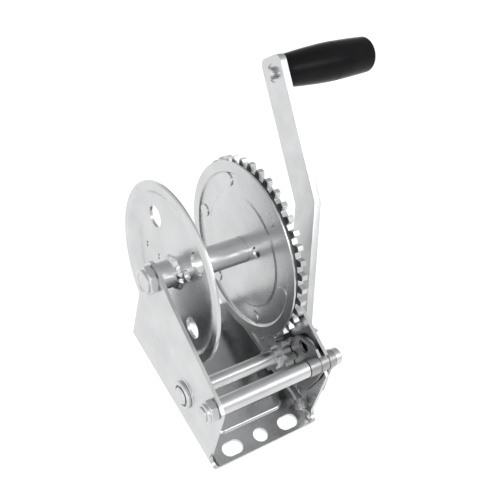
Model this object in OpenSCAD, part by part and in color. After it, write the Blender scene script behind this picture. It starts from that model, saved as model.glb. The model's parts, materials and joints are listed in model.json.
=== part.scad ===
// Hand-cranked boat trailer winch: folded steel frame, strap drum with a ring
// gear on its right flange, pinion shaft with a cranked handle, and a sprung
// pawl that catches the pinion's teeth.
//
// X runs along the drum axis to the right (the handle's side), Y to the back
// and Z up. The origin is on the underside of the base, at the centre of the
// round hole between the two front mounting slots.

/* [Frame] */
// Width over the two side plates
frame_w = 91; // [86:1:96]
// Thickness of the frame's sheet steel
sheet = 2.6; // [2.2:0.1:3]
// Distance from the front edge of the base to the front bolt line
front_reach = 8.5; // [8:0.5:12]
// Outer radius of the two long bends
bend_r = 7; // [5:0.5:8]

/* [Drum] */
// Drum axis behind the front bolt line
drum_y = 103; // [100:0.5:106]
// Drum axis above the underside of the base
drum_z = 85.5; // [83:0.5:90]
// Radius of the drum flanges
flange_r = 66.5; // [60:0.5:67.5]
// Outer radius of the drum tube
core_r = 9.8; // [9.2:0.1:11]
// Clear width between the flanges at their rims
drum_gap = 57.6; // [54:0.2:58]

/* [Gears] */
// Teeth on the drum's ring gear
gear_teeth = 41; // [40:1:42]
// Teeth on the pinion
pinion_teeth = 10; // [9:1:11]
// Tooth module
tooth_m = 3.3; // [3.2:0.02:3.36]
// Thickness of the ring gear
gear_w = 4.5; // [4:0.1:4.8]

/* [Crank] */
// Centre distance from the pinion shaft to the grip pin
crank_len = 203; // [170:1:240]
// Width of the crank's bar
crank_w = 26.5; // [24:0.5:30]
// Thickness of the crank's bar
crank_t = 6; // [5:0.1:7]
// Length of the grip
grip_len = 83.5; // [75:0.5:110]
// Largest radius of the grip
grip_r = 15.3; // [14.5:0.1:18]

/* [Hardware] */
// Shank radius of the drum bolt
drum_bolt_r = 6.35; // [6:0.05:6.5]
// Shank radius of the tie bolt
tie_bolt_r = 4.75; // [4:0.05:4.9]
// Width of the mounting slots and holes
mount_hole = 11.1; // [9:0.1:12]

/* [Hidden] */
$fn = 64;

// Clearances
run = 0.06;          // radial running clearance of a shaft in its bore
gap = 0.4;           // end clearance between parts on different bodies
tiny = 0.01;
far = 400;

// Frame
half_w = frame_w / 2;
wall_in = half_w - sheet;      // inner face of a side plate
base_back = 116;
plate_front = -1.5;            // front edge of the side plates
ear_r = 12.3;                  // radius of the plate around the drum bolt
top_front = [2.2, 66.5];       // front end of the plates' sloping top edge
top_back = [78, 88];           // where the top edge turns up to the ear
corner_r = 5;
toe_z = 9;                     // height where the front edge meets the base's toe
slot_dx = 24;                  // slot centres from the middle
slot_len = 16.2;
rear_slot_y = 100.5;           // middle of the slot that runs front to back
rib = [58, 13, 2.2];           // stamped rib: length, width, height
rib_y = 18.5;
anchor = [41.5, -4];           // spring's hole in the base
anchor_r = 1.3;

// Tie bolt and pawl pivot
tie_y = 8.5;
tie_z = 58.6;
tie_tube_r = 6.15;
sleeve_r = 6.7;
sleeve_x0 = 30;                // left end of the pawl's sleeve
sleeve_x1 = 51.8;              // right end, outside the right plate
seat_mouth = [95, 215];        // the right plate's seat is open between these angles

// Drum, left to right
drum_x0 = -wall_in + gap;
drum_x1 = wall_in - gap;
flange_t = 2.2;
left_rim_x = -31.5;            // inner face of the left flange's rim
left_web_x = left_rim_x + 4.9; // inner face of its web
right_rim_x = left_rim_x + drum_gap;
right_band_x = right_rim_x + 1.8;   // inner face of the right flange where the rivets sit
right_web_x = right_rim_x + 1.1;
weld_r = core_r + 3.6;         // foot of the weld beads on the outer faces
light_hole_r = 8.2;
light_hole_pitch = 40.7;
light_hole_start = 34;
rope_hole_r = 4.4;
rope_hole_at = [20.5, 140];    // radius and angle
rivet_pitch = 52.4;
rivet_start = -10;
rivet_r = 5.1;
rivet_shank_r = 3;
rivets = 6;

// Gears: an enlarged pinion with a gear reduced by as much
pressure = 20;
addendum = 0.72;
dedendum = 0.82;
shift = 0.4;
backlash = 0.3;
gear_pitch_r = tooth_m * gear_teeth / 2;
pinion_pitch_r = tooth_m * pinion_teeth / 2;
centre_distance = gear_pitch_r + pinion_pitch_r;
mesh_angle = 221.8;            // direction from the drum axis to the pinion axis
pinion_y = drum_y + centre_distance * cos(mesh_angle);
pinion_z = drum_z + centre_distance * sin(mesh_angle);
pinion_tip_r = pinion_pitch_r + tooth_m * (addendum + shift);
gear_x = right_rim_x + 5.2;
gear_boss = [46, 56];          // inner and outer radius of the face that meets the flange
pinion_x0 = gear_x - 0.3;
pinion_x1 = pinion_x0 + 7.4;
pinion_hub_r = 9.2;
shaft_r = 5.5;
journal_r = 6.35;
bush_r = journal_r + 2.5;

// Crank
crank_angle = 42.8;            // the crank leans this far up from the horizontal, to the back
hub_x = 54.3;                  // left face of the crank at the shaft
arm_x = 89.7;                  // left face of the crank at the grip
bend_lo = 12.5;
bend_hi = 102.5;
crank_end = 12.5;              // the bar runs this far past the grip pin
crank_end_r = 6;
shaft_end = 73.4;
crank_nut_h = 10.5;
grip_x = arm_x + crank_t + 1.3;
pin_r = 4.5;

// Pawl
pawl_t = 2.2;
pawl_x = pinion_x1 + 0.5;      // left face of the pawl's plate
tab_x = gear_x + gear_w + 0.4; // left end of the tab that drops on the pinion's teeth
lever_x = half_w + 0.6;
spring_top = [13, 19.8];
spring_hole_r = 1.6;
spring_wire_r = 0.5;
spring_coil_r = 4.1;
spring_turns = 6;
spring_pitch = 1.85 * spring_wire_r; // the turns touch, so that they're one solid
spring_at = [37.2, 5.5, 10.4]; // middle of the coil
spring_eye_r = 2.2;            // eye through the pawl's hole
spring_foot_z = 2;             // end of the wire, inside the base's hole
spring_bend_z = 6.6;           // the wire turns down here

// Fasteners
head_af = 19;                  // across the flats of the drum bolt, its nut and the crank nut
tie_af = 14.3;                 // across the flats of the tie bolt and its nut
drum_head_h = 8;
drum_nut_h = 8.4;
tie_nut_h = 8.2;
tie_head_h = 5.3;
tie_head_r = 6.4;

steel = "silver";
bright = "gainsboro";
dull = "darkgray";

// ---------------------------------------------------------------- helpers

// Draws 2-D children in the Y-Z plane and extrudes them along +X from x0
module slab(x0, x1) {
  translate([x0, 0, 0]) rotate([90, 0, 90]) linear_extrude(x1 - x0) children();
}

// Turns a 2-D profile (radius, x) about an axis along X through (y, z)
module turned(y, z) {
  translate([0, y, z]) rotate([0, 90, 0]) rotate_extrude() children();
}

module rod(y, z, r, x0, x1) {
  translate([x0, y, z]) rotate([0, 90, 0]) cylinder(h = x1 - x0, r = r);
}

// A ring's half section from radius r0 to r1, x0 to x1
module ring_section(r0, r1, x0, x1) {
  translate([r0, x0]) square([r1 - r0, x1 - x0]);
}

// Hexagon across flats af, turned so that flats face up and down, with
// the corners of its free ends chamfered
module hex(y, z, af, x0, x1, chamfer0, chamfer1) {
  corner = af / 2 / cos(30);
  c = 1.2;
  intersection() {
    translate([x0, y, z]) rotate([0, 90, 0]) cylinder(h = x1 - x0, r = corner, $fn = 6);
    turned(y, z) polygon([
      [0, x0], [corner - (chamfer0 ? c * 1.6 : 0), x0], [corner + tiny, x0 + (chamfer0 ? c : 0)],
      [corner + tiny, x1 - (chamfer1 ? c : 0)], [corner - (chamfer1 ? c * 1.6 : 0), x1], [0, x1]
    ]);
  }
}

function polar(r, a) = [r * cos(a), r * sin(a)];
function inv(a) = tan(a) * 180 / PI - a;
// Half the angular thickness of an involute tooth at radius r
function half_tooth(r, pitch_r, base_r, s) =
  s / (2 * pitch_r) * 180 / PI + inv(pressure) - (r > base_r ? inv(acos(base_r / r)) : 0);

// Outline of an involute gear whose first tooth points along `start`
function gear_outline(teeth, pitch_r, x_shift, start, steps) =
  let (
    base_r = pitch_r * cos(pressure),
    tip_r = pitch_r + tooth_m * (addendum + x_shift),
    root_r = pitch_r - tooth_m * (dedendum - x_shift),
    s = tooth_m * (PI / 2 + 2 * x_shift * tan(pressure)) - backlash / 2,
    low_r = max(root_r, base_r),
    radii = concat([root_r], [for (i = [0:steps]) low_r + (tip_r - low_r) * i / steps])
  )
  [for (t = [0:teeth - 1], side = [-1, 1], i = [0:len(radii) - 1])
    let (
      k = side < 0 ? i : len(radii) - 1 - i,
      flare = k == 0 ? 1.12 : 1
    )
    polar(radii[k], start + t * 360 / teeth
      + side * flare * half_tooth(radii[k], pitch_r, base_r, s))
  ];

// ---------------------------------------------------------------- frame

// Outline of a side plate and the edge of the base below it, in Y-Z
module plate_outline() {
  dir = [top_back[0] - top_front[0], top_back[1] - top_front[1]];
  slope = atan2(dir[1], dir[0]);
  difference() {
    union() {
      polygon([
        [-front_reach, 0], [base_back, 0], [base_back, drum_z], [drum_y, drum_z],
        [drum_y + ear_r * cos(112), drum_z + ear_r * sin(112)], top_back,
        top_front + corner_r * [cos(slope), sin(slope)],
        top_front + [-1.8, -corner_r * 0.6],
        [plate_front + 1, top_front[1] - corner_r * 1.6],
        [plate_front - 0.4, toe_z + 6], [plate_front - 0.4, toe_z], [-front_reach, sheet]
      ]);
      translate([drum_y, drum_z]) circle(r = ear_r);
    }
    // concave toe between the plates' front edge and the base
    translate([-front_reach + 0.2, toe_z + 1.4]) circle(r = 6.6);
    // rounded lower back corners
    difference() {
      translate([base_back - 6, -tiny]) square([far, 6 + tiny]);
      translate([base_back - 6, 6]) circle(r = 6);
    }
  }
}

// Section of the folded channel, in X-Z
module channel_section() {
  inner_r = bend_r - sheet;
  difference() {
    union() {
      translate([-half_w, bend_r]) square([frame_w, far]);
      translate([-half_w + bend_r, 0]) square([frame_w - 2 * bend_r, far]);
      for (s = [-1, 1]) translate([s * (half_w - bend_r), bend_r]) circle(r = bend_r);
    }
    translate([-wall_in, bend_r]) square([2 * wall_in, far]);
    translate([-wall_in + inner_r, sheet]) square([2 * (wall_in - inner_r), far]);
    for (s = [-1, 1]) translate([s * (wall_in - inner_r), bend_r]) circle(r = inner_r);
  }
}

module stadium(length, width) {
  for (s = [-1, 1]) translate([s * (length - width) / 2, 0]) circle(r = width / 2);
  translate([-(length - width) / 2, -width / 2]) square([length - width, width]);
}

// Seat for the pawl's sleeve, open towards the front
module sleeve_seat() {
  translate([tie_y, tie_z]) {
    circle(r = sleeve_r + run);
    polygon([
      [0, 0], polar(14, seat_mouth[0]), polar(26, (seat_mouth[0] + seat_mouth[1]) / 2 - 30),
      polar(26, (seat_mouth[0] + seat_mouth[1]) / 2 + 30), polar(14, seat_mouth[1])
    ]);
  }
}

module frame() {
  color(bright)
  difference() {
    union() {
      intersection() {
        translate([0, base_back, 0]) rotate([90, 0, 0])
          linear_extrude(base_back + front_reach) channel_section();
        slab(-half_w - 1, half_w + 1) plate_outline();
      }
      translate([0, rib_y, sheet - tiny]) linear_extrude(rib[2] + tiny) stadium(rib[0], rib[1]);
    }
    translate([0, rib_y, -tiny]) linear_extrude(rib[2])
      stadium(rib[0] - 2 * sheet, rib[1] - 2 * sheet);
    for (s = [-1, 1]) translate([s * slot_dx, 0, -1])
      linear_extrude(sheet + 2) stadium(slot_len, mount_hole);
    translate([0, 0, -1]) cylinder(h = sheet + 2, r = mount_hole / 2);
    translate([0, rear_slot_y, -1]) rotate(90)
      linear_extrude(sheet + 2) stadium(slot_len, mount_hole);
    translate([anchor[0], anchor[1], -1]) cylinder(h = bend_r + 1, r = anchor_r);
    rod(drum_y, drum_z, drum_bolt_r + 0.05, -half_w - 1, half_w + 1);
    rod(pinion_y, pinion_z, bush_r, -half_w - 1, half_w + 1);
    rod(tie_y, tie_z, tie_bolt_r + 0.05, -half_w - 1, 0);
    slab(wall_in - 1, half_w + 1) sleeve_seat();
  }
}

// ---------------------------------------------------------------- drum

// Lock nut against the face at x, growing to the left: a hexagon, then the
// round collar that holds its insert
module lock_nut(y, z, af, bore_r, x, height) {
  collar = height * 0.3;
  color(steel) difference() {
    union() {
      hex(y, z, af, x - height + collar, x, true, false);
      turned(y, z) polygon([
        [0, x - height], [af / 2 - 1.6, x - height], [af / 2 - 0.8, x - height + 0.8],
        [af / 2 - 0.8, x - height + collar + tiny], [0, x - height + collar + tiny]
      ]);
    }
    rod(y, z, bore_r, x - height - 1, x + 1);
  }
}

module drum_bolt() {
  color(steel) {
    rod(drum_y, drum_z, drum_bolt_r, -half_w - drum_nut_h + 0.6, half_w + tiny);
    hex(drum_y, drum_z, head_af, half_w, half_w + drum_head_h, false, true);
  }
}

module drum_nut() {
  lock_nut(drum_y, drum_z, head_af, drum_bolt_r, -half_w, drum_nut_h);
}

module drum_tube() {
  color(steel) turned(drum_y, drum_z)
    ring_section(drum_bolt_r + run, core_r, drum_x0, drum_x1);
}

// Places children at an angle and radius round the drum axis, in the Y-Z plane
module on_drum(r, a) {
  translate([drum_y, drum_z] + polar(r, a)) children();
}

// Flat rim at the outside, a cone, and a flat web set inwards
module left_flange() {
  t = flange_t;
  rim = left_rim_x;
  web = left_web_x;
  color(bright) difference() {
    turned(drum_y, drum_z) polygon([
      [core_r, web - t], [48.5, web - t], [56, web - t - 1.7], [60, rim - t],
      [flange_r - 0.9, rim - t], [flange_r, rim - t + 0.9], [flange_r, rim],
      [59.5, rim], [55.5, web - 1.7], [48, web], [core_r, web]
    ]);
    slab(rim - t - 1, web + 1) {
      for (k = [0:3]) on_drum(light_hole_pitch, light_hole_start + 90 * k) circle(r = light_hole_r);
      on_drum(rope_hole_at[0], rope_hole_at[1]) circle(r = rope_hole_r);
      for (a = [-12.4, -16.6]) on_drum(38.9, a) circle(r = 1);
      for (a = [-11.7, -19.3]) on_drum(21.7, a) circle(r = 1);
    }
  }
}

// Flat rim, a band set back where the rivets sit, and a flat web
module right_flange() {
  t = flange_t;
  rim = right_rim_x;
  band = right_band_x;
  web = right_web_x;
  color(bright) difference() {
    turned(drum_y, drum_z) polygon([
      [core_r, web], [43, web], [44, band], [57.6, band], [58.8, rim],
      [flange_r, rim], [flange_r, rim + t - 0.8], [flange_r - 0.8, rim + t],
      [59.4, rim + t], [58, band + t], [43.6, band + t], [42.6, web + t], [core_r, web + t]
    ]);
    slab(rim - 1, band + t + 1) {
      on_drum(rope_hole_at[0], rope_hole_at[1]) circle(r = rope_hole_r);
      for (k = [0:rivets - 1])
        on_drum(rivet_pitch, rivet_start + k * 360 / rivets) circle(r = rivet_shank_r);
    }
  }
}

// Bead that joins the tube to the outer face of a flange at x, growing
// towards s: -1 is left and 1 is right
module weld(x, s) {
  bead = [
    [core_r, 0], [weld_r, 0], [weld_r - 0.2, 0.9], [weld_r - 1.2, 2],
    [core_r + 0.9, 3.2], [core_r, 3.4]
  ];
  color(dull) turned(drum_y, drum_z) polygon([for (p = bead) [p[0], x + s * p[1]]]);
}

module left_weld() {
  weld(left_web_x - flange_t, -1);
}

module right_weld() {
  weld(right_web_x + flange_t, 1);
}

// Ring gear with a raised face that meets the flange round the rivets
module ring_gear() {
  back = right_band_x + flange_t;
  color(steel) difference() {
    union() {
      slab(gear_x, gear_x + gear_w) translate([drum_y, drum_z])
        polygon(gear_outline(gear_teeth, gear_pitch_r, -shift, mesh_angle, 3));
      turned(drum_y, drum_z) ring_section(gear_boss[0], gear_boss[1], back, gear_x + tiny);
    }
    rod(drum_y, drum_z, gear_boss[0], back - 1, gear_x + gear_w + 1);
    slab(back - 1, gear_x + gear_w + 1) for (k = [0:rivets - 1])
      on_drum(rivet_pitch, rivet_start + k * 360 / rivets) circle(r = rivet_shank_r);
  }
}

// Rivets through the right flange and the ring gear
module gear_rivets() {
  x0 = right_band_x;
  x1 = gear_x + gear_w;
  color(bright) for (k = [0:rivets - 1]) {
    p = [drum_y, drum_z] + polar(rivet_pitch, rivet_start + k * 360 / rivets);
    turned(p[0], p[1]) polygon([
      [0, x0 - 1], [rivet_r - 0.3, x0 - 1], [rivet_r, x0 - 0.7], [rivet_r, x0],
      [rivet_shank_r, x0], [rivet_shank_r, x1], [rivet_r - 1, x1], [rivet_r - 1, x1 + 0.8],
      [rivet_r - 1.6, x1 + 1.2], [0, x1 + 1.2]
    ]);
  }
}

// ---------------------------------------------------------------- pinion

// Shaft through both side plates, with flats for the crank on its right end
module pinion_shaft() {
  left_end = -half_w - 4.2;
  flat = 5;
  color(steel) difference() {
    turned(pinion_y, pinion_z) polygon([
      [0, left_end], [journal_r - 1, left_end], [journal_r, left_end + 1],
      [journal_r, -half_w - 1.2], [shaft_r, -half_w - 1.2], [shaft_r, pinion_x1],
      [journal_r, pinion_x1], [journal_r, shaft_end - 1], [journal_r - 1, shaft_end],
      [0, shaft_end]
    ]);
    crank_frame() for (s = [-1, 1]) translate([hub_x, s * (flat + 5) - 5, -10])
      cube([crank_t, 10, 20]);
  }
}

// Pinion with a fluted hub; the pawl catches its teeth
module pinion() {
  start = mesh_angle + 180 + 180 / pinion_teeth;
  color(steel) difference() {
    union() {
      slab(pinion_x0, pinion_x1) translate([pinion_y, pinion_z])
        polygon(gear_outline(pinion_teeth, pinion_pitch_r, shift, start, 5));
      slab(pinion_x0 - 3, pinion_x0 + tiny) translate([pinion_y, pinion_z]) difference() {
        circle(r = pinion_hub_r);
        for (k = [0:pinion_teeth - 1])
          translate(polar(pinion_hub_r + 0.8, start + (k + 0.5) * 360 / pinion_teeth)) circle(r = 2);
      }
    }
    rod(pinion_y, pinion_z, shaft_r, pinion_x0 - 4, pinion_x1 + 1);
  }
}

// Flanged bushes pressed into the side plates from outside
module left_bush() {
  r = journal_r + 3.7;
  x = -half_w;
  color(dull) turned(pinion_y, pinion_z) polygon([
    [shaft_r + run, x - 0.8], [journal_r + 1.2, x - 0.8], [journal_r + 1.6, x - 3],
    [r - 1, x - 3], [r, x - 2], [r, x],
    [bush_r, x], [bush_r, x + sheet + 1.2], [shaft_r + run, x + sheet + 1.2]
  ]);
}

module right_bush() {
  r = journal_r + 4.4;
  x = half_w;
  color(dull) turned(pinion_y, pinion_z) polygon([
    [journal_r + run, x - sheet - 0.6], [bush_r, x - sheet - 0.6], [bush_r, x],
    [r, x], [r, x + 2], [r - 1, x + 3], [journal_r + run, x + 3]
  ]);
}

// ---------------------------------------------------------------- crank

// Places children with local X along the shaft, Y along the crank, Z across it
module crank_frame() {
  translate([0, pinion_y, pinion_z]) rotate([crank_angle, 0, 0]) children();
}

module crank_arm() {
  top = crank_len + crank_end;
  bottom = -crank_w / 2;
  run_x = arm_x - hub_x;
  t = crank_t;
  turn = atan2(run_x, bend_hi - bend_lo);
  k = t * tan(turn / 2);
  color(bright) difference() {
    intersection() {
      // bar seen edge on: X across its thickness, Y along it
      crank_frame() translate([0, 0, -crank_w / 2]) linear_extrude(crank_w) polygon([
        [hub_x, bottom], [hub_x + t, bottom], [hub_x + t, bend_lo - k],
        [arm_x + t, bend_hi - k], [arm_x + t, top], [arm_x, top], [arm_x, bend_hi],
        [hub_x, bend_lo]
      ]);
      // bar seen from its flat side
      crank_frame() translate([hub_x - 1, 0, 0]) rotate([90, 0, 90])
        linear_extrude(arm_x - hub_x + t + 2) union() {
          circle(r = crank_w / 2);
          translate([0, -crank_w / 2]) square([top - crank_end_r, crank_w]);
          for (s = [-1, 1]) translate([top - crank_end_r, s * (crank_w / 2 - crank_end_r)])
            circle(r = crank_end_r);
          translate([top - crank_end_r, -crank_w / 2 + crank_end_r])
            square([crank_end_r, crank_w - 2 * crank_end_r]);
        }
    }
    // double-D hole on the shaft
    intersection() {
      rod(pinion_y, pinion_z, journal_r, hub_x - 1, hub_x + t + 1);
      crank_frame() translate([hub_x - 1, -5, -10]) cube([t + 2, 10, 20]);
    }
    crank_frame() rod(crank_len, 0, pin_r, arm_x - 1, arm_x + t + 1);
    crank_frame() rod(crank_len, 0, 7, arm_x - 1, arm_x + 1.2);
  }
}

module crank_nut() {
  color(steel) difference() {
    hex(pinion_y, pinion_z, head_af, hub_x + crank_t, hub_x + crank_t + crank_nut_h, false, true);
    rod(pinion_y, pinion_z, journal_r, hub_x, hub_x + 30);
  }
}

// Stepped pin staked through the crank's end, with a head inside the grip
module grip_pin() {
  x = arm_x - 4.6;
  color(steel) crank_frame() turned(crank_len, 0) polygon([
    [0, x], [pin_r - 0.9, x], [pin_r, x + 0.9], [pin_r, grip_x + grip_len - 18],
    [pin_r + 2, grip_x + grip_len - 18], [pin_r + 2, grip_x + grip_len - 15.5],
    [0, grip_x + grip_len - 15.5]
  ]);
}

module grip_washer() {
  color(dull) crank_frame() turned(crank_len, 0)
    ring_section(pin_r, 9.5, arm_x + crank_t, arm_x + crank_t + 1);
}

module grip() {
  x0 = grip_x + 0.1;
  x1 = x0 + grip_len;
  seam = x0 + grip_len * 0.56;
  end_r = 3.6;
  tip_r = grip_r - 1.2;
  color("#1c1c1e") crank_frame() turned(crank_len, 0) polygon(concat(
    [[pin_r + run, x0], [grip_r - 3.8, x0], [grip_r - 3, x0 + 0.8]],
    [for (i = [1:5]) [grip_r - 3 * pow(1 - i / 5, 1.6), x0 + (seam - x0) * i / 5]],
    [for (i = [1:4]) [grip_r - 1.2 * pow(i / 4, 1.5), seam + (x1 - end_r - seam) * i / 4]],
    [for (a = [15:15:90]) [tip_r - end_r + end_r * cos(a), x1 - end_r + end_r * sin(a)]],
    [[0, x1], [0, x1 - 15], [pin_r + 2 + run * 2, x1 - 15], [pin_r + 2 + run * 2, x1 - 18.4],
     [pin_r + run, x1 - 18.4]]
  ));
}

// ---------------------------------------------------------------- tie bolt and pawl

module tie_bolt() {
  x = sleeve_x1 + gap;
  color(steel) {
    rod(tie_y, tie_z, tie_bolt_r, -half_w - tie_nut_h - 1.2, x);
    turned(tie_y, tie_z) polygon([
      [0, x - tiny], [tie_head_r, x - tiny], [tie_head_r, x + tie_head_h - 0.6],
      [tie_head_r - 0.6, x + tie_head_h], [0, x + tie_head_h]
    ]);
  }
}

module tie_nut() {
  lock_nut(tie_y, tie_z, tie_af, tie_bolt_r, -half_w, tie_nut_h);
}

module tie_tube() {
  color(steel) turned(tie_y, tie_z)
    ring_section(tie_bolt_r + tiny, tie_tube_r, -wall_in, sleeve_x0 - gap);
}

// Plate beside the right side plate: it reaches back from the sleeve to the
// pinion, and a leg hangs down to the spring
module pawl_outline() {
  tie = [tie_y, tie_z];
  difference() {
    union() {
      polygon([
        tie + [-1, 6.6], tie + [6, 9.6], tie + [14, 7.8], tie + [22, 4.8],
        tie + [26, 1.6], tie + [28.6, -5], tie + [29.6, -8.6], tie + [29.8, -16],
        tie + [29.2, -21], tie + [25.8, -20], tie + [23, -22], tie + [20, -26],
        tie + [13, -28], spring_top + [4, 4], spring_top + [3.2, -1.8],
        spring_top + [1.2, -2.8], spring_top + [-2.2, -2.6], spring_top + [-3.8, 0],
        tie + [-5.5, -14], tie + [-6.6, -1]
      ]);
      translate(tie) circle(r = sleeve_r + 0.6);
    }
    translate(tie) circle(r = tie_bolt_r + run);
    translate(spring_top) circle(r = spring_hole_r);
    // window
    translate(tie + [16.8, 0.2]) rotate(-25) intersection() {
      circle(r = 5.2);
      translate([-6, -5.2]) square([12, 8.4]);
    }
  }
}

module pawl() {
  color(dull) {
    slab(pawl_x, pawl_x + pawl_t) pawl_outline();
    // tab over the pinion's teeth
    slab(tab_x, pawl_x + tiny) translate([pinion_y, pinion_z]) polygon([
      polar(pinion_tip_r + 0.4, 92.5), polar(pinion_tip_r + 0.4, 103),
      polar(pinion_tip_r + 4, 101), polar(pinion_tip_r + 4, 95)
    ]);
    turned(tie_y, tie_z) ring_section(tie_bolt_r + run, sleeve_r, sleeve_x0, sleeve_x1);
  }
}

// Finger lever on the sleeve's outer end, hanging outside the right plate
module pawl_lever() {
  tie = [tie_y, tie_z];
  x1 = lever_x + pawl_t + 0.4;
  color(dull) difference() {
    union() {
      rod(tie_y, tie_z, sleeve_r + 0.8, lever_x, x1);
      slab(lever_x, x1) polygon([
        tie + [-6.8, -2], tie + [7.2, 1], tie + [4.6, -23], tie + [0.5, -28.5], tie + [-9, -28]
      ]);
    }
    rod(tie_y, tie_z, sleeve_r, lever_x - 1, x1 + 1);
  }
}

// ---------------------------------------------------------------- spring

// Round bar between two points
module strut(a, b, r) {
  v = b - a;
  translate(a) rotate([0, acos(v[2] / norm(v)), atan2(v[1], v[0])])
    cylinder(h = norm(v), r = r);
}

// Close-wound extension spring: an eye through the pawl's leg, a stack of
// turns, and a straight end in the base's hole
module pawl_spring() {
  wire = spring_wire_r;
  eye = [pawl_x + pawl_t / 2, spring_top[0], spring_top[1]];
  foot = [anchor[0], anchor[1], spring_foot_z];
  bend = [anchor[0], anchor[1], spring_bend_z];
  lean = atan2(eye[1] - spring_at[1], eye[2] - spring_at[2]);
  along = [0, sin(lean), cos(lean)];
  across = [0, cos(lean), -sin(lean)];
  half = spring_turns * spring_pitch / 2;
  top_wire = spring_at + half * along;
  foot_wire = spring_at - half * along;
  ring = eye - spring_eye_r * along;
  color(steel) {
    translate(spring_at) rotate([-lean, 0, 0]) rotate_extrude() for (k = [0:spring_turns])
      translate([spring_coil_r, -half + k * spring_pitch]) circle(r = wire);
    strut(top_wire - spring_coil_r * across, ring - spring_eye_r * along, wire);
    // down to the hole: each piece a little thinner, so that no two surfaces coincide
    strut(foot_wire - spring_coil_r * across, bend, wire * 0.96);
    translate(bend) sphere(r = wire * 1.04);
    strut(foot, bend, wire * 0.92);
    translate(ring) rotate([-lean, 0, 0]) rotate([90, 0, 0]) rotate_extrude()
      translate([spring_eye_r, 0]) circle(r = wire);
  }
}

frame();
drum_bolt();
drum_nut();
drum_tube();
left_flange();
right_flange();
left_weld();
right_weld();
ring_gear();
gear_rivets();
pinion_shaft();
pinion();
left_bush();
right_bush();
crank_arm();
crank_nut();
grip_pin();
grip_washer();
grip();
tie_bolt();
tie_nut();
tie_tube();
pawl();
pawl_lever();
pawl_spring();
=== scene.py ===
import json
import math

import bmesh
import bpy
from mathutils import Matrix, Vector, noise


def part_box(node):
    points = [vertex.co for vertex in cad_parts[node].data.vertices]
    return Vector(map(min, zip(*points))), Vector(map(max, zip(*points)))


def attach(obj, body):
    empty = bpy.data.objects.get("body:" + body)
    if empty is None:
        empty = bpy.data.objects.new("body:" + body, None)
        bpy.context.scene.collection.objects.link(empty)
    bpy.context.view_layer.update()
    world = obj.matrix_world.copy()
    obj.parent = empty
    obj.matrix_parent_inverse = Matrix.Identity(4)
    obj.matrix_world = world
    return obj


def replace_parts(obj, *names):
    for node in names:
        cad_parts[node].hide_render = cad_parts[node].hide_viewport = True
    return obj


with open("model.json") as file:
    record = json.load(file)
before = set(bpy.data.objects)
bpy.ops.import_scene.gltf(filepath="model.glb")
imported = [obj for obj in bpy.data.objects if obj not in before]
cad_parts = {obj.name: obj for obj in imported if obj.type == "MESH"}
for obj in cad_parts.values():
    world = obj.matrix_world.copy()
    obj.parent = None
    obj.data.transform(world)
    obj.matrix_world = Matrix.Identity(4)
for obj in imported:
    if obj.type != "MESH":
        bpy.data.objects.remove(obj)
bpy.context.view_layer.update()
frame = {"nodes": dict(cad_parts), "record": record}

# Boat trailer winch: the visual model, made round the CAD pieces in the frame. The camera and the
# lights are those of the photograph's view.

MM = 0.001
BODY_OF = {
    node: body for body, nodes in frame["record"]["behaviour"]["bodies"].items() for node in nodes
}

# ---------------------------------------------------------------- camera

SENSOR = 36                               # mm wide
LENS = 56.65                              # mm
EYE = Vector((-0.2439, -0.1814, 0.5043))
AIM_AZIMUTH = 44.55                       # degrees the view leans from +Y towards +X
AIM_DOWN = 46.67                          # degrees below the horizontal
ROLL = 17.07                              # degrees


def make_camera():
    data = bpy.data.cameras.new("camera")
    data.lens = LENS
    data.sensor_width = SENSOR
    data.clip_start = 0.01
    camera = bpy.data.objects.new("camera", data)
    bpy.context.scene.collection.objects.link(camera)
    turn = Matrix.Rotation(math.radians(-AIM_AZIMUTH), 4, "Z")
    tilt = Matrix.Rotation(math.radians(90 - AIM_DOWN), 4, "X")
    roll = Matrix.Rotation(math.radians(ROLL), 4, "Z")
    camera.matrix_world = Matrix.Translation(EYE) @ turn @ tilt @ roll
    bpy.context.scene.camera = camera


# ---------------------------------------------------------------- materials


def new_material(name):
    m = bpy.data.materials.new(name)
    m.use_nodes = True
    return m, m.node_tree, m.node_tree.nodes["Principled BSDF"]


def object_noise(tree, scale, detail):
    """Noise that is fixed to the piece, in its own coordinates."""
    place = tree.nodes.new("ShaderNodeTexCoord")
    texture = tree.nodes.new("ShaderNodeTexNoise")
    texture.inputs["Scale"].default_value = scale
    texture.inputs["Detail"].default_value = detail
    tree.links.new(place.outputs["Object"], texture.inputs["Vector"])
    return texture.outputs["Fac"]


NOISE_LOW = 0.3                           # noise seldom leaves this range
NOISE_HIGH = 0.7


def ranged(tree, value, low, high):
    """Noise spread from low to high."""
    spread = tree.nodes.new("ShaderNodeMapRange")
    spread.inputs["From Min"].default_value = NOISE_LOW
    spread.inputs["From Max"].default_value = NOISE_HIGH
    spread.inputs["To Min"].default_value = low
    spread.inputs["To Max"].default_value = high
    tree.links.new(value, spread.inputs["Value"])
    return spread.outputs["Result"]


def mixed_color(tree, value, dark, light):
    """Noise turned into a colour between dark and light."""
    ramp = tree.nodes.new("ShaderNodeValToRGB")
    stops = zip(ramp.color_ramp.elements, (NOISE_LOW, NOISE_HIGH), (dark, light))
    for stop, position, color in stops:
        stop.position = position
        stop.color = (*color, 1)
    tree.links.new(value, ramp.inputs["Fac"])
    return ramp.outputs["Color"]


def add_bump(tree, bsdf, value, strength, distance):
    bump = tree.nodes.new("ShaderNodeBump")
    bump.inputs["Strength"].default_value = strength
    bump.inputs["Distance"].default_value = distance
    tree.links.new(value, bump.inputs["Height"])
    tree.links.new(bump.outputs["Normal"], bsdf.inputs["Normal"])


def grey(level):
    """A slightly cool grey."""
    return level, level + 0.005, level + 0.01


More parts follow.
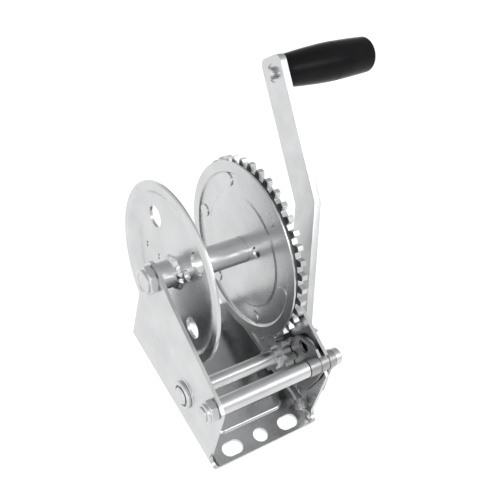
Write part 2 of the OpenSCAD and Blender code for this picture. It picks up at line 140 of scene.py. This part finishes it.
def plated(name, dark, light, rough, spread, grain=900, bump=0.12):
    """Plated steel: cloudy colour, uneven gloss and a fine grain. rough is the middle roughness."""
    m, tree, bsdf = new_material(name)
    bsdf.inputs["Metallic"].default_value = 1
    color = mixed_color(tree, object_noise(tree, scale=45, detail=4), dark, light)
    gloss = ranged(tree, object_noise(tree, scale=130, detail=6), rough - spread, rough + spread)
    tree.links.new(color, bsdf.inputs["Base Color"])
    tree.links.new(gloss, bsdf.inputs["Roughness"])
    add_bump(tree, bsdf, object_noise(tree, grain, detail=3), bump, 0.2 * MM)
    return m


def plastic(name, dark, light, smoothest, roughest):
    """Black plastic with a faint mould texture."""
    m, tree, bsdf = new_material(name)
    bsdf.inputs["Specular IOR Level"].default_value = 0.09
    color = mixed_color(tree, object_noise(tree, scale=60, detail=3), dark, light)
    gloss = ranged(tree, object_noise(tree, scale=220, detail=5), smoothest, roughest)
    tree.links.new(color, bsdf.inputs["Base Color"])
    tree.links.new(gloss, bsdf.inputs["Roughness"])
    add_bump(tree, bsdf, object_noise(tree, scale=1500, detail=2), 0.08, 0.1 * MM)
    return m


MATERIALS = {
    "zinc_sheet": plated("zinc_sheet", grey(0.55), grey(0.62), 0.25, 0.03),
    "zinc_hardware": plated("zinc_hardware", grey(0.56), grey(0.66), 0.31, 0.03, 700, 0.05),
    "pawl_steel": plated("pawl_steel", (0.33, 0.33, 0.335), (0.40, 0.40, 0.405), 0.36, 0.04),
    "spring_wire": plated("spring_wire", (0.38, 0.38, 0.385), (0.46, 0.46, 0.465), 0.16, 0.03),
    "black_plastic": plastic(
        "black_plastic", (0.004, 0.004, 0.005), (0.007, 0.007, 0.008), 0.22, 0.32),
}
SLOT_OF = {part["node"]: part["material_slot"] for part in frame["record"]["subparts"]}

# ---------------------------------------------------------------- places read from the CAD pieces


def middle(node):
    """The (y, z) of the axis that a round piece turns about."""
    low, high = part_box(node)
    return (low.y + high.y) / 2, (low.z + high.z) / 2


def span(node):
    low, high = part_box(node)
    return low.x, high.x


FRAME_LOW, FRAME_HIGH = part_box("frame")
DRUM = middle("drum_tube")
SHAFT = middle("pinion_shaft")
TIE = middle("tie_tube")
GRIP = middle("grip")

# ---------------------------------------------------------------- mesh building

SAME_PLACE = 1e-6                         # metres
FLAT_ANGLE = math.radians(0.6)            # faces closer in direction than this are one face
SHARP_ANGLE = math.radians(30)            # edges sharper than this are rounded off
SMOOTH_LIMIT = 38                         # degrees; faces closer than this shade as one surface


def add_mesh(name, points, faces, slot, body):
    mesh = bpy.data.meshes.new(name)
    mesh.from_pydata(points, [], faces)
    mesh.validate()
    obj = bpy.data.objects.new(name, mesh)
    bpy.context.scene.collection.objects.link(obj)
    obj.data.materials.append(MATERIALS[slot])
    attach(obj, body)
    return obj


def soften(mesh, limit=SMOOTH_LIMIT):
    """Smooth shading up to the angle limit, weighted by area, so that a flat face looks flat right
    up to its rounded edge."""
    work = bmesh.new()
    work.from_mesh(mesh)
    work.normal_update()
    cosine = math.cos(math.radians(limit))
    normals = []
    for face in work.faces:
        face.smooth = True
    areas = {face: face.calc_area() for face in work.faces}
    for face in work.faces:
        for loop in face.loops:
            total = Vector()
            for other in loop.vert.link_faces:
                if other.normal.dot(face.normal) > cosine:
                    total += other.normal * areas[other]
            normals.append(total.normalized() if total.length > 0 else face.normal.copy())
    work.to_mesh(mesh)
    work.free()
    mesh.normals_split_custom_set(normals)


def round_edges(work, edges, width, segments):
    bmesh.ops.bevel(work, geom=edges, offset=width, segments=segments, profile=0.5,
                    affect="EDGES", clamp_overlap=True)


def bevelled(node, width, segments=2, wide=None):
    """A copy of a CAD piece with its sharp edges rounded off. wide is (test, width, segments), for
    edges with a wider rounding of their own."""
    mesh = frame["nodes"][node].data.copy()
    mesh.name = node + "_shape"
    work = bmesh.new()
    work.from_mesh(mesh)
    bmesh.ops.remove_doubles(work, verts=work.verts, dist=SAME_PLACE)
    bmesh.ops.dissolve_limit(work, angle_limit=FLAT_ANGLE, verts=work.verts, edges=work.edges)
    if wide:
        test, size, steps = wide
        chosen = [e for e in work.edges if len(e.link_faces) == 2 and test(e)]
        round_edges(work, chosen, size, steps)
    sharp = [e for e in work.edges if len(e.link_faces) == 2 and e.calc_face_angle() > SHARP_ANGLE]
    round_edges(work, sharp, width, segments)
    work.to_mesh(mesh)
    work.free()
    soften(mesh)
    obj = bpy.data.objects.new(node + "_shape", mesh)
    bpy.context.scene.collection.objects.link(obj)
    mesh.materials.clear()
    mesh.materials.append(MATERIALS[SLOT_OF[node]])
    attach(obj, BODY_OF[node])
    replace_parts(obj, node)


def skin(name, points, around, slot, body, closed, limit):
    """A piece made of rings of points, each joined to the next. When closed, the last ring is
    joined to the first; otherwise the first and last are filled."""
    rings = len(points) // around
    faces = []
    for i in range(rings if closed else rings - 1):
        row, after = i * around, (i + 1) % rings * around
        for k in range(around):
            n = (k + 1) % around
            faces.append((row + k, row + n, after + n, after + k))
    if not closed:
        faces.append(tuple(reversed(range(around))))
        faces.append(tuple(range((rings - 1) * around, rings * around)))
    obj = add_mesh(name, points, faces, slot, body)
    tidy_normals(obj.data)
    soften(obj.data, limit)
    return obj


def tidy_normals(mesh):
    work = bmesh.new()
    work.from_mesh(mesh)
    bmesh.ops.recalc_face_normals(work, faces=work.faces)
    work.to_mesh(mesh)
    work.free()


def lathe(name, axis, profile, slot, body, around=96, radius=None, closed=True, limit=SMOOTH_LIMIT):
    """Turns (x, r) points about the line along X through axis. radius(x, r, a) may change r with
    the angle a."""
    points = []
    for x, r in profile:
        for k in range(around):
            a = 2 * math.pi * k / around
            q = radius(x, r, a) if radius else r
            points.append((x, axis[0] + q * math.cos(a), axis[1] + q * math.sin(a)))
    return skin(name, points, around, slot, body, closed, limit)


def hexagon(across, turn):
    """The radius of a hexagon at each angle, turned by turn."""
    def at(a):
        side = (a - turn + math.pi / 6) % (math.pi / 3) - math.pi / 6
        return across / 2 / math.cos(side)
    return at


def round_wire(name, points, wire, slot, body, around=14, limit=60):
    """A round wire along a list of points, with flat ends."""
    verts = []
    last = None
    for i, p in enumerate(points):
        t = (points[min(i + 1, len(points) - 1)] - points[max(i - 1, 0)]).normalized()
        side = last - last.dot(t) * t if last else t.orthogonal()
        side.normalize()
        last = side
        up = t.cross(side)
        for k in range(around):
            a = 2 * math.pi * k / around
            verts.append(p + wire * (math.cos(a) * side + math.sin(a) * up))
    return skin(name, verts, around, slot, body, False, limit)


# ---------------------------------------------------------------- pieces


def make_frame():
    """Folded sheet: rounded edges all over, and a soft stamped rib across the base."""
    rib_top = 4.8 * MM
    rib_reach = 30 * MM
    rib_front = 10 * MM
    rib_back = 27 * MM

    def on_rib(edge):
        for v in edge.verts:
            if abs(v.co.x) > rib_reach or not rib_front < v.co.y < rib_back:
                return False
            if abs(v.co.z - rib_top) > 10 * SAME_PLACE:
                return False
        return edge.calc_face_angle() > SHARP_ANGLE

    bevelled("frame", 0.35 * MM, 3, (on_rib, 1.9 * MM, 6))


ROUNDING = {                              # mm
    "left_flange": 0.5, "right_flange": 0.5, "crank_arm": 0.6, "ring_gear": 0.3, "pawl": 0.35,
    "pawl_lever": 0.4, "pinion": 0.3, "left_bush": 0.35, "right_bush": 0.35, "grip_washer": 0.2,
    "pinion_shaft": 0.2, "drum_tube": 0.15, "tie_tube": 0.3, "gear_rivets": 0.25, "grip_pin": 0.2,
    "tie_bolt": 0.6, "drum_bolt": 0.8, "crank_nut": 0.3,
}


def make_plain_pieces():
    """The pieces that only need their edges rounded off."""
    for node, width in ROUNDING.items():
        bevelled(node, width * MM)


def make_weld(node, side):
    """Hand-laid bead: uneven lumps that run together round the tube."""
    low, high = span(node)
    foot = high if side < 0 else low
    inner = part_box("drum_tube")[1].y - DRUM[0] - 0.1 * MM
    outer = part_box(node)[1].y - DRUM[0]
    lumps = 3.2
    ripples = 9

    def bead(x, r, a):
        if r <= inner:
            return r
        around = Vector((math.cos(a), math.sin(a), 0))
        lump = noise.noise(lumps * around + Vector((0, 0, side * 2)))
        ripple = noise.noise(ripples * around + Vector((0, 0, x / MM * 0.5)))
        return max(inner, r - (0.8 + 1.5 * lump + 0.8 * ripple) * MM)

    rows = 12
    profile = [(foot, inner)]
    for i in range(rows + 1):
        t = i / rows
        height = inner + (outer - inner) * (1 - t ** 1.3) ** 0.7
        profile.append((foot + side * t * (high - low), height))
    obj = lathe(node + "_bead", DRUM, profile, SLOT_OF[node], "drum",
                around=160, radius=bead, limit=70)
    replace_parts(obj, node)


def lock_nut(node, axis, across, bore, turn):
    """Hexagon with chamfered corners, then the round collar that holds the insert."""
    low, high = span(node)
    collar = low + 0.3 * (high - low)
    flat = hexagon(across, turn)
    half = across / 2
    ring = half - 0.8 * MM
    corner = half / math.cos(math.pi / 6) + 0.2 * MM
    edge = 0.35 * MM

    def shape(x, r, a):
        on_hexagon = x > collar - SAME_PLACE and r > ring
        return min(r, flat(a)) if on_hexagon else r

    profile = [
        (high, bore),
        (high, half - 0.3 * MM), (high - 0.7 * MM, half + 0.6 * MM), (high - 1.3 * MM, corner),
        (collar + 1.3 * MM, corner), (collar + 0.6 * MM, half + 0.6 * MM),
        (collar, half - 0.25 * MM), (collar, ring + edge), (collar - 0.05 * MM, ring),
        (low + 0.8 * MM, ring), (low + edge, ring - edge), (low, ring - 1.0 * MM),
        (low, bore + 0.5 * MM), (low + 0.5 * MM, bore),
    ]
    obj = lathe(node + "_shape", axis, profile, SLOT_OF[node], "frame",
                around=144, radius=shape, limit=30)
    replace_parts(obj, node)


def make_grip():
    """Barrel grip: it swells towards the seam of its two halves and ends in a rounded cap."""
    low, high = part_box("grip")
    start, end = low.x, high.x
    widest = (high.y - low.y) / 2
    seam = start + 0.56 * (end - start)
    groove = 0.5 * MM                     # half the width of the groove at the seam
    groove_r = widest - 0.3 * MM
    bore = 4.56 * MM
    pocket = 6.62 * MM                    # room for the pin's head
    pocket_floor = end - 15 * MM
    pocket_step = end - 18.4 * MM
    end_r = 3.6 * MM                      # rounding of the cap
    tip = widest - 1.2 * MM               # radius just before the cap
    axle = 0.05 * MM                      # the ends are closed by a face this small
    inner_taper = 3 * MM
    outer_taper = 1.15 * MM
    steps = 14
    outline = [
        (pocket_floor, axle), (pocket_floor, pocket), (pocket_step, pocket), (pocket_step, bore),
        (start, bore), (start, widest - 4.2 * MM), (start + 0.3 * MM, widest - 3.6 * MM),
    ]
    barrel = start + 0.8 * MM
    for i in range(1, steps + 1):
        t = i / steps
        x = barrel + t * (seam - groove - barrel)
        outline.append((x, widest - inner_taper * (1 - t) ** 1.6))
    outline += [(seam - 0.4 * groove, groove_r), (seam + 0.4 * groove, groove_r)]
    for i in range(steps + 1):
        t = i / steps
        x = seam + groove + t * (end - end_r - seam - groove)
        outline.append((x, widest - 0.05 * MM - outer_taper * t ** 1.5))
    for i in range(1, 10):
        a = math.radians(10 * i)
        outline.append((end - end_r + end_r * math.sin(a), tip - end_r + end_r * math.cos(a)))
    outline.append((end, axle))
    obj = lathe("grip_shape", GRIP, outline, "black_plastic", "grip", closed=False)
    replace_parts(obj, "grip")


def make_spring():
    """One wire: a loop through the pawl's leg, a close coil, and a straight end in the base's hole.
    It stays at its rest shape when the pawl moves."""
    low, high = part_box("pawl_spring")
    cad_wire = 0.5 * MM
    wire = 0.4 * MM                       # thinner than in the CAD piece, so that the turns show
    coil_r = 4.1 * MM
    eye_r = 2.2 * MM
    eye_to_coil = 12.03 * MM              # from the eye's top to the middle of the coil
    turns = 5
    half = turns * 0.53 * MM              # half the coil's length
    lean = math.radians(38.6)             # of the coil, from upright
    side = Vector((1, 0, 0))
    along = Vector((0, math.sin(lean), math.cos(lean)))
    across = Vector((0, math.cos(lean), -math.sin(lean)))
    eye = Vector((high.x - eye_r - cad_wire, high.y - cad_wire, high.z - cad_wire))
    loop = eye - eye_r * along
    coil = eye - eye_to_coil * along
    coil.x = low.x + coil_r + cad_wire
    foot = Vector((FRAME_HIGH.x - 4 * MM, low.y + cad_wire, low.z))
    bend = foot + Vector((0, 0, 4.4 * MM))
    around = 28                           # points in one turn
    loop_start = -50                      # degrees
    loop_sweep = 320
    path = []
    for i in range(around + 1):
        a = math.radians(loop_start + loop_sweep * i / around)
        path.append(loop + eye_r * (math.cos(a) * side + math.sin(a) * along))
    for i in range(turns * around + 1):
        b = 2 * math.pi * i / around
        rise = half - 2 * half * i / (turns * around)
        path.append(coil + rise * along + coil_r * (math.sin(b) * side - math.cos(b) * across))
    start = path[-1]
    path += [start.lerp(bend, 0.5), start.lerp(bend, 0.85), bend - Vector((0, 0, 0.5 * MM)), foot]
    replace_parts(round_wire("pawl_spring_wire", path, wire, "spring_wire", "frame"), "pawl_spring")


def make_emboss():
    """Low ring pressed out of the left side plate round its bush."""
    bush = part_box("left_bush")[1].y - SHAFT[0]
    section = (                           # mm out of the plate, mm beyond the bush
        (-0.3, 0.3), (0.1, 0.5), (0.3, 1.1), (0.3, 2), (0.1, 2.6), (-0.3, 3),
    )
    profile = [(FRAME_LOW.x - out * MM, bush + beyond * MM) for out, beyond in section]
    lathe("bush_emboss", SHAFT, profile, "zinc_sheet", "frame")


make_frame()
make_plain_pieces()
make_weld("left_weld", -1)
make_weld("right_weld", 1)
lock_nut("drum_nut", DRUM, across=19 * MM, bore=6.36 * MM, turn=math.radians(90))
lock_nut("tie_nut", TIE, across=14.3 * MM, bore=4.76 * MM, turn=math.radians(80))
make_grip()
make_spring()
make_emboss()
for name, node in frame["nodes"].items():
    node.data.materials.clear()
    node.data.materials.append(MATERIALS[SLOT_OF[name]])

# ---------------------------------------------------------------- stage

WHITE = (1, 1, 1, 1)
FLOOR_SIZE = 60                           # metres
FLOOR_GAP = 0.5 * MM                      # between the floor and the base
CENTRE = (0, 0.06, 0.08)                  # where the lights point


def make_floor():
    bpy.ops.mesh.primitive_plane_add(size=FLOOR_SIZE, location=(0, 0, FRAME_LOW.z - FLOOR_GAP))
    floor = bpy.context.object
    floor.name = "floor"
    m, _, bsdf = new_material("floor")
    bsdf.inputs["Base Color"].default_value = (0.15, 0.15, 0.15, 1)
    bsdf.inputs["Roughness"].default_value = 0.9
    bsdf.inputs["Emission Color"].default_value = WHITE
    bsdf.inputs["Emission Strength"].default_value = 1.0
    floor.data.materials.append(m)


def fade(tree, value, start, end, low, high):
    """low where value is at start, high where it is at end, and a soft change between."""
    change = tree.nodes.new("ShaderNodeMapRange")
    change.interpolation_type = "SMOOTHSTEP"
    change.inputs["From Min"].default_value = start
    change.inputs["From Max"].default_value = end
    change.inputs["To Min"].default_value = low
    change.inputs["To Max"].default_value = high
    tree.links.new(value, change.inputs["Value"])
    return change.outputs["Result"]


def make_world():
    """Studio surroundings: brightest in front and to the left, dimmest behind and to the right."""
    world = bpy.data.worlds.new("world")
    world.use_nodes = True
    tree = world.node_tree
    background = tree.nodes["Background"]
    background.inputs["Color"].default_value = WHITE
    place = tree.nodes.new("ShaderNodeTexCoord")
    split = tree.nodes.new("ShaderNodeSeparateXYZ")
    tree.links.new(place.outputs["Generated"], split.inputs["Vector"])
    front = fade(tree, split.outputs["Y"], 0.45, -0.25, 0.54, 0.88)
    left = fade(tree, split.outputs["X"], 0.1, -0.9, 0.0, 0.5)
    total = tree.nodes.new("ShaderNodeMath")
    tree.links.new(front, total.inputs[0])
    tree.links.new(left, total.inputs[1])
    tree.links.new(total.outputs["Value"], background.inputs["Strength"])
    bpy.context.scene.world = world


def area_light(name, place, side, power):
    """A square light, side metres wide, pointed at the winch."""
    data = bpy.data.lights.new(name, "AREA")
    data.shape = "RECTANGLE"
    data.size = side
    data.size_y = side
    data.energy = power
    light = bpy.data.objects.new(name, data)
    light.location = place
    light.rotation_euler = (Vector(CENTRE) - Vector(place)).to_track_quat("-Z", "Y").to_euler()
    bpy.context.scene.collection.objects.link(light)


bpy.context.scene.view_settings.view_transform = "Standard"
make_camera()
make_floor()
make_world()
area_light("key", (0.55, -0.54, 0.91), side=0.45, power=1.8)
area_light("fill", (-0.35, -0.75, 0.6), side=0.25, power=1.5)
